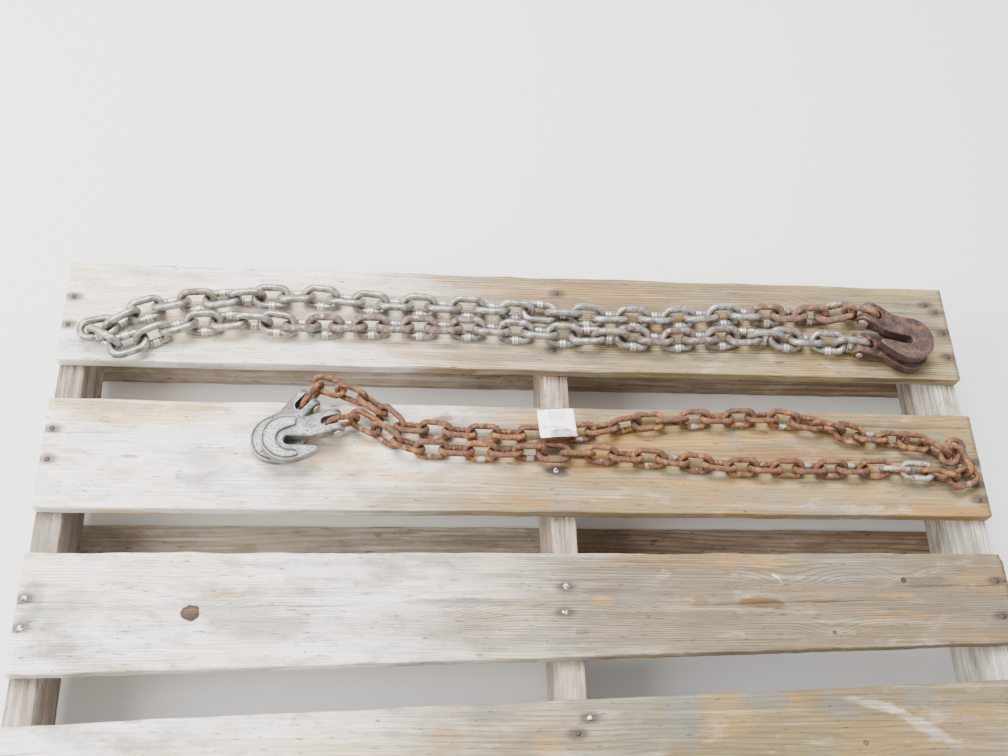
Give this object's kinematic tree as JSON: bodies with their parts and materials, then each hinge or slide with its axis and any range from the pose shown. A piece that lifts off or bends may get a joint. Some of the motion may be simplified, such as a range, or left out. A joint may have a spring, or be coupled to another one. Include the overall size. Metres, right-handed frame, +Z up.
{
  "type": "steel chains on a pallet",
  "caption": "Short-link steel chains lying doubled along the far boards of a low wooden pallet, each end carrying a clevis grab hook, with a paper tag on one chain.",
  "frame": {"origin": "centre of the pallet's footprint, on the floor", "axes": "+X along the deck boards towards the end with the upper chain's hooks, +Y across the boards towards the board that carries the upper chain, +Z up"},
  "size_m": [1.016, 0.6288, 0.1646],
  "materials": {
    "deck_wood": "weathered bare softwood, bleached pinkish grey to tan, with raised grain, knots and nail marks",
    "frame_wood": "bare rough-sawn wood, darker and greyed",
    "galvanised_links": "dull worn galvanising with patches of orange-brown rust",
    "rusty_links": "orange-brown rust with worn bright patches",
    "hook_steel": "drop-forged steel, dull grey with reddish-brown rust",
    "pin_steel": "dull zinc-plated steel",
    "tag_paper": "matt white paper, curled at one edge"
  },
  "bodies": {
    "root": {"deck_board_1": "deck_wood", "deck_board_2": "deck_wood", "deck_board_3": "deck_wood", "deck_board_4": "deck_wood", "stringer_left": "frame_wood", "stringer_middle": "frame_wood", "stringer_right": "frame_wood", "bottom_board_near": "frame_wood", "bottom_board_middle": "frame_wood", "bottom_board_far": "frame_wood", "upper_chain_top_01": "galvanised_links", "upper_chain_top_02": "galvanised_links", "upper_chain_top_03": "galvanised_links", "upper_chain_top_04": "galvanised_links", "upper_chain_top_05": "galvanised_links", "upper_chain_top_06": "galvanised_links", "upper_chain_top_07": "galvanised_links", "upper_chain_top_08": "galvanised_links", "upper_chain_turn_ring": "galvanised_links", "upper_chain_bottom_01": "galvanised_links", "upper_chain_bottom_02": "galvanised_links", "upper_chain_bottom_03": "galvanised_links", "upper_chain_bottom_04": "galvanised_links", "upper_chain_bottom_05": "galvanised_links", "upper_chain_bottom_06": "galvanised_links", "upper_chain_bottom_07": "galvanised_links", "upper_chain_bottom_08": "galvanised_links", "upper_chain_bottom_09": "galvanised_links", "lower_chain_01": "rusty_links", "lower_chain_02": "rusty_links", "lower_chain_03": "rusty_links", "lower_chain_04": "rusty_links", "lower_chain_05": "rusty_links", "lower_chain_06": "rusty_links", "lower_chain_07": "rusty_links", "lower_chain_08": "rusty_links", "lower_chain_09": "rusty_links", "lower_chain_10": "rusty_links", "lower_chain_11": "rusty_links", "lower_chain_12": "rusty_links", "lower_chain_13": "rusty_links", "lower_chain_14": "rusty_links", "lower_chain_15": "rusty_links", "upper_hook_over": "hook_steel", "upper_hook_over_pin": "pin_steel", "upper_hook_under": "hook_steel", "upper_hook_under_pin": "pin_steel", "lower_hook_front": "hook_steel", "lower_hook_front_pin": "pin_steel", "lower_hook_rear": "hook_steel", "lower_hook_rear_pin": "pin_steel", "paper_tag": "tag_paper"}
  },
  "joints": []
}
